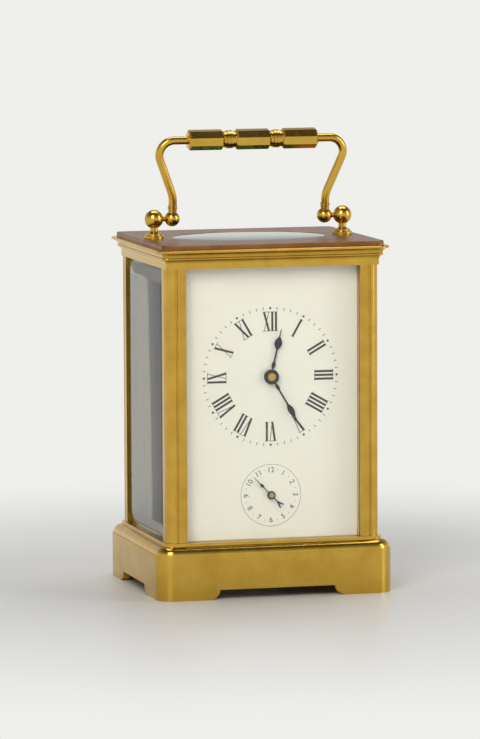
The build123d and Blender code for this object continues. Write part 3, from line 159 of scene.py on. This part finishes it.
# Plate glass: clear, greenish in its depth; a shadow ray goes through so that the dial is lit, and the last colour
# is a painted reflection tone, a specular tint that darkens the reflections as painted shade on the panes that face
# a dark part of the room
def plate_glass(name, tint, shade, painted_reflection_tone):
    material, tree = blank(name)
    place = put(tree, "ShaderNodeTexCoord")
    ripple = noise(tree, place.outputs["Object"], 60.0, 1.0)
    bump = put(tree, "ShaderNodeBump", {"Height": ripple}, Strength=0.02, Distance=0.2 * mm)
    surface = put(tree, "ShaderNodeBsdfPrincipled", {"Normal": bump.outputs["Normal"]}, Roughness=0.01, IOR=1.5,
                  **{"Base Color": paint(tint), "Transmission Weight": 1.0, "Specular Tint": paint(painted_reflection_tone)})
    clear = put(tree, "ShaderNodeBsdfTransparent", Color=paint(shade))
    path = put(tree, "ShaderNodeLightPath")
    mixed = put(tree, "ShaderNodeMixShader", {"Fac": path.outputs["Is Shadow Ray"]})
    tree.links.new(surface.outputs["BSDF"], mixed.inputs[1])
    tree.links.new(clear.outputs["BSDF"], mixed.inputs[2])
    put(tree, "ShaderNodeOutputMaterial", {"Surface": mixed.outputs["Shader"]})
    return material


# Fired enamel: milk white under a glassy skin, with a faint warm cloud
def enamel(name, light, dark):
    material, tree = blank(name)
    place = put(tree, "ShaderNodeTexCoord")
    clouds = noise(tree, place.outputs["Object"], 45.0, 2.0)
    tone = ramp(tree, clouds, 0.0, paint(dark), 1.0, paint(light))
    surface = put(tree, "ShaderNodeBsdfPrincipled", {"Base Color": tone}, Roughness=0.22,
                  **{"Coat Weight": 0.5, "Coat Roughness": 0.06})
    put(tree, "ShaderNodeOutputMaterial", {"Surface": surface.outputs["BSDF"]})
    return material


# Steel: blued or bright, with polishing lines a few hundredths of a millimetre apart, drawn coarser
def steel(name, light, dark, roughness, metallic=1.0):
    material, tree = blank(name)
    place = put(tree, "ShaderNodeTexCoord")
    lines = noise(tree, place.outputs["Object"], 700.0, 3.0)
    tone = ramp(tree, lines, 0.35, paint(dark), 0.65, paint(light))
    surface = put(tree, "ShaderNodeBsdfPrincipled", {"Base Color": tone}, Roughness=roughness, Metallic=metallic)
    put(tree, "ShaderNodeOutputMaterial", {"Surface": surface.outputs["BSDF"]})
    return material


case_brass = brass("polished_brass", "D2AC4C", "C59C3E", "6E4A1C", 0.20, 500.0, (1, 1, 6))
pillar_brass = brass("drawn_brass", "D0A84A", "C0963C", "6E4A1C", 0.22, 500.0, (8, 8, 0.6))
# Top plate: brownish copper brass, made darker still as painted shade that stands in for dark reflections on the
# plate
plate_brass = brass("copper_brass_painted_dark", "9A6C46", "805434", "4E3220", 0.34, 400.0, (1, 6, 1))
movement_brass = brass("grained_brass", "C9A455", "A98338", "6B4A20", 0.32, 600.0, (6, 1, 1))
clear_glass = plate_glass("bevelled_plate_glass", "FBFBF8", "F6F6F1", "FFFFFF")
# The dark last colours of the side and top panes are painted reflection shade: they darken what these panes reflect
side_pane_glass = plate_glass("side_plate_glass", "D3E2DA", "E6EFEA", "5E716A")
top_pane_glass = plate_glass("green_plate_glass", "7FB8A6", "9FCDBE", "3F6F63")
white_enamel = enamel("fired_white_enamel", "F6F4EA", "EFEDE1")
blued = steel("blued_steel", "1B2236", "0A0C14", 0.25)
bright_steel = steel("polished_steel", "B9BBBE", "8F9296", 0.28)
ink = steel("fired_black_print", "15161A", "0B0C0E", 0.4, 0.0)

finishes = {"brass": case_brass, "brass_satin": movement_brass, "glass": clear_glass, "enamel": white_enamel,
            "blued_steel": blued, "steel": bright_steel}
slot_of = {part["node"]: part["material_slot"] for part in frame["record"]["subparts"]}


# Modifier that welds a CAD mesh and smooths it, with sharp edges kept where it turns by more than 25 degrees
def smoothing_group():
    group = bpy.data.node_groups.new("smooth_turned_faces", "GeometryNodeTree")
    group.interface.new_socket("Geometry", in_out="INPUT", socket_type="NodeSocketGeometry")
    group.interface.new_socket("Geometry", in_out="OUTPUT", socket_type="NodeSocketGeometry")
    entry = put(group, "NodeGroupInput")
    weld = put(group, "GeometryNodeMergeByDistance", {"Geometry": entry.outputs["Geometry"]}, Distance=0.001 * mm)
    smooth = put(group, "GeometryNodeSetShadeSmooth", {"Geometry": weld.outputs["Geometry"]})
    angle = put(group, "GeometryNodeInputMeshEdgeAngle")
    gentle = put(group, "FunctionNodeCompare", {"A": angle.outputs["Unsigned Angle"]}, operation="LESS_THAN",
                 B=radians(25))
    edges = put(group, "GeometryNodeSetShadeSmooth", {"Geometry": smooth.outputs["Geometry"],
                "Shade Smooth": gentle.outputs["Result"]}, domain="EDGE")
    put(group, "NodeGroupOutput", {"Geometry": edges.outputs["Geometry"]})
    return group


turned_faces = smoothing_group()
special = {name: pillar_brass for name in nodes if name.startswith("pillar_")}
special.update({"top_plate": plate_brass, "top_glass": top_pane_glass, "door_frame": pillar_brass,
                "handle_pivots": case_brass, "case_screws": movement_brass,
                "left_glass": side_pane_glass, "right_glass": side_pane_glass})
for name, piece in nodes.items():
    piece.data.materials.clear()
    piece.data.materials.append(special.get(name, finishes[slot_of[name]]))
    modifier = piece.modifiers.new("smooth", "NODES")
    modifier.node_group = turned_faces


# Prints on the dial are drawn flat as (across, up), raised a little and stood up on the enamel
def stand_print(name, bm, centre):
    bmesh.ops.recalc_face_normals(bm, faces=bm.faces)
    for face in bm.faces:
        if face.normal.z < 0:
            face.normal_flip()
    raised = bmesh.ops.extrude_face_region(bm, geom=bm.faces[:])
    tops = [item for item in raised["geom"] if isinstance(item, bmesh.types.BMVert)]
    bmesh.ops.translate(bm, verts=tops, vec=(0, 0, -print_height))
    bmesh.ops.recalc_face_normals(bm, faces=bm.faces)
    stand = Matrix(((1, 0, 0, centre.x), (0, 0, 1, dial_front), (0, 1, 0, centre.z), (0, 0, 0, 1)))
    bmesh.ops.transform(bm, matrix=stand, verts=bm.verts)
    bmesh.ops.recalc_face_normals(bm, faces=bm.faces)
    mesh = bpy.data.meshes.new(name)
    bm.to_mesh(mesh)
    bm.free()
    piece = bpy.data.objects.new(name, mesh)
    bpy.context.scene.collection.objects.link(piece)
    mesh.materials.append(ink)
    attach(piece, "case")


# Printed mark with a number of corners, at a distance up from the centre and turned clockwise
def mark(bm, corners, radius, distance, turn):
    dot = bmesh.ops.create_circle(bm, cap_ends=True, segments=corners, radius=radius * mm)
    bmesh.ops.translate(bm, verts=dot["verts"], vec=(0, distance * mm, 0))
    bmesh.ops.rotate(bm, verts=dot["verts"], cent=(0, 0, 0), matrix=Matrix.Rotation(-turn, 3, "Z"))


# One slanted stroke of a numeral, from across at the foot to across at the head
def stroke(bm, foot, head, width, height, turn, radius):
    corners = ((foot - width / 2, 0), (foot + width / 2, 0), (head + width / 2, height), (head - width / 2, height))
    verts = [bm.verts.new((across * mm, (radius + up) * mm, 0)) for across, up in corners]
    bm.faces.new(verts)
    bmesh.ops.rotate(bm, verts=verts, cent=(0, 0, 0), matrix=Matrix.Rotation(-turn, 3, "Z"))


hours = ("XII", "I", "II", "III", "IIII", "V", "VI", "VII", "VIII", "IX", "X", "XI")
romans = bmesh.new()
for hour, word in enumerate(hours):
    turn = radians(30 * hour)
    x = -sum(advance[letter] for letter in word) / 2
    for letter in word:
        wide = advance[letter]
        middle = x + wide / 2
        reach = wide / 2 - slant_margin
        if letter == "I":
            stroke(romans, middle, middle, thick, numeral_height, turn, numeral_foot)
        if letter == "V":
            stroke(romans, middle + v_shift, middle - reach, thick, numeral_height, turn, numeral_foot)
            stroke(romans, middle + v_shift, middle + reach, thin, numeral_height, turn, numeral_foot)
        if letter == "X":
            stroke(romans, middle + reach, middle - reach, thick, numeral_height, turn, numeral_foot)
            stroke(romans, middle - reach, middle + reach, thin, numeral_height, turn, numeral_foot)
        for level in (0, numeral_height - serif):
            if letter != "V" or level > 0:
                stroke(romans, middle, middle, wide - serif_gap, serif, turn, numeral_foot + level)
        x += wide
stand_print("roman_numerals", romans, dial_centre)

minutes = bmesh.new()
for minute in range(60):
    turn = radians(6 * minute)
    if minute % 5:
        stroke(minutes, 0, 0, minute_width, minute_length, turn, minute_foot)
    else:
        mark(minutes, 4, five_mark_radius, five_mark_at, turn)
stand_print("minute_track", minutes, dial_centre)


# Thin printed ring
def ring(bm, radius, width, segments):
    outer = bmesh.ops.create_circle(bm, segments=segments, radius=(radius + width / 2) * mm)
    inner = bmesh.ops.create_circle(bm, segments=segments, radius=(radius - width / 2) * mm)
    edges = {edge for vert in outer["verts"] + inner["verts"] for edge in vert.link_edges}
    bmesh.ops.bridge_loops(bm, edges=list(edges))


alarm_track = bmesh.new()
ring(alarm_track, alarm_ring_radius, alarm_ring_width, 96)
for hour in range(12):
    mark(alarm_track, 12, alarm_dot_radius, alarm_dot_at, radians(30 * hour + 15))
stand_print("alarm_track", alarm_track, alarm_centre)

figures = bmesh.new()
for hour in range(1, 13):
    curve = bpy.data.curves.new("figure", "FONT")
    curve.body = str(hour)
    curve.size = alarm_figure_size * mm
    curve.align_x = "CENTER"
    curve.align_y = "CENTER"
    letter = bpy.data.objects.new("figure", curve)
    bpy.context.scene.collection.objects.link(letter)
    bpy.context.view_layer.update()
    mesh = bpy.data.meshes.new_from_object(letter.evaluated_get(bpy.context.evaluated_depsgraph_get()))
    turn = radians(30 * hour)
    facing = turn + pi if 4 <= hour <= 8 else turn
    spot = Vector((sin(turn), cos(turn), 0)) * alarm_figure_at * mm
    mesh.transform(Matrix.Translation(spot) @ Matrix.Rotation(-facing, 4, "Z"))
    figures.from_mesh(mesh)
    bpy.data.meshes.remove(mesh)
    bpy.data.objects.remove(letter)
    bpy.data.curves.remove(curve)
bmesh.ops.remove_doubles(figures, verts=figures.verts, dist=0.0005 * mm)
stand_print("alarm_figures", figures, alarm_centre)

# Camera
back = Vector((-sin(camera_yaw) * cos(camera_pitch), -cos(camera_yaw) * cos(camera_pitch), sin(camera_pitch)))
right = Vector((cos(camera_yaw), -sin(camera_yaw), 0))
up = back.cross(right)
aim = right * aim_right + Vector((0, 0, aim_height))
rolled_right = right * cos(camera_roll) + up * sin(camera_roll)
rolled_up = up * cos(camera_roll) - right * sin(camera_roll)
camera_turn = Matrix((rolled_right, rolled_up, back)).transposed().to_4x4()
lens = bpy.data.cameras.new("camera")
lens.sensor_fit = "VERTICAL"
lens.sensor_height = 36
lens.lens = focal_pixels / photo_height * lens.sensor_height
lens.clip_end = 50
camera = bpy.data.objects.new("camera", lens)
camera.matrix_world = Matrix.Translation(aim + back * camera_distance) @ camera_turn
bpy.context.scene.collection.objects.link(camera)
bpy.context.scene.camera = camera


# Soft lamp that looks at the middle of the clock
def softbox(name, spot, width, height, watts):
    light = bpy.data.lights.new(name, "AREA")
    light.shape = "RECTANGLE"
    light.size = width
    light.size_y = height
    light.energy = watts
    lamp = bpy.data.objects.new(name, light)
    lamp.location = spot
    lamp.rotation_euler = (Vector((0, 0, 0.08)) - Vector(spot)).to_track_quat("-Z", "Y").to_euler()
    bpy.context.scene.collection.objects.link(lamp)


softbox("key", (-0.55, -0.85, 0.75), 0.5, 0.7, 5.5)
softbox("fill", (0.95, -0.55, 0.45), 0.35, 0.8, 3.0)
softbox("top", (0.1, 0.25, 1.0), 0.8, 0.6, 4.0)


# One for what the camera, a reflection or a view through glass sees, and zero for the light itself
def looked_at(tree):
    path = put(tree, "ShaderNodeLightPath")
    seen = put(tree, "ShaderNodeMath", {0: path.outputs["Is Camera Ray"], 1: path.outputs["Is Glossy Ray"]},
               operation="MAXIMUM")
    seen_too = put(tree, "ShaderNodeMath", {0: seen.outputs[0], 1: path.outputs["Is Transmission Ray"]},
                   operation="MAXIMUM")
    return seen_too.outputs[0]


backdrop_tone = "EFEFEC"

# Pale floor: it keeps the clock's shadow, and far from the clock it looks the same as the backdrop
floor_mesh = bmesh.new()
bmesh.ops.create_grid(floor_mesh, x_segments=1, y_segments=1, size=40)
floor_data = bpy.data.meshes.new("floor")
floor_mesh.to_mesh(floor_data)
floor_mesh.free()
floor = bpy.data.objects.new("floor", floor_data)
bpy.context.scene.collection.objects.link(floor)
floor_paint, floor_tree = blank("pale_floor")
floor_surface = put(floor_tree, "ShaderNodeBsdfPrincipled", Roughness=0.4, **{"Base Color": paint("F2F1EE")})
floor_place = put(floor_tree, "ShaderNodeTexCoord")
away = put(floor_tree, "ShaderNodeVectorMath", {0: floor_place.outputs["Object"]}, operation="LENGTH")
fade = put(floor_tree, "ShaderNodeMapRange", {"Value": away.outputs["Value"]}, interpolation_type="SMOOTHSTEP",
           **{"From Min": 0.08, "From Max": 0.34})
faded = put(floor_tree, "ShaderNodeMath", {0: fade.outputs["Result"], 1: looked_at(floor_tree)},
            operation="MULTIPLY")
glow = put(floor_tree, "ShaderNodeEmission", Color=paint(backdrop_tone), Strength=1.0)
floor_mix = put(floor_tree, "ShaderNodeMixShader", {"Fac": faded.outputs[0]})
floor_tree.links.new(floor_surface.outputs["BSDF"], floor_mix.inputs[1])
floor_tree.links.new(glow.outputs["Emission"], floor_mix.inputs[2])
put(floor_tree, "ShaderNodeOutputMaterial", {"Surface": floor_mix.outputs["Shader"]})
floor_data.materials.append(floor_paint)

# World: pale for what the camera, metal and glass see, greyer towards the top so that metal has shape
world = bpy.data.worlds.new("studio")
world.use_nodes = True
bpy.context.scene.world = world
sky = world.node_tree
sky.nodes.clear()
way = put(sky, "ShaderNodeTexCoord")
height = put(sky, "ShaderNodeSeparateXYZ", {"Vector": way.outputs["Generated"]})
shade = ramp(sky, height.outputs["Z"], 0.05, paint(backdrop_tone), 0.80, paint("4C4D52"))
level = put(sky, "ShaderNodeMapRange", {"Value": looked_at(sky)}, **{"To Min": 0.55, "To Max": 1.0})
backdrop = put(sky, "ShaderNodeBackground", {"Color": shade, "Strength": level.outputs["Result"]})
put(sky, "ShaderNodeOutputWorld", {"Surface": backdrop.outputs["Background"]})
bpy.context.scene.view_settings.view_transform = "Standard"
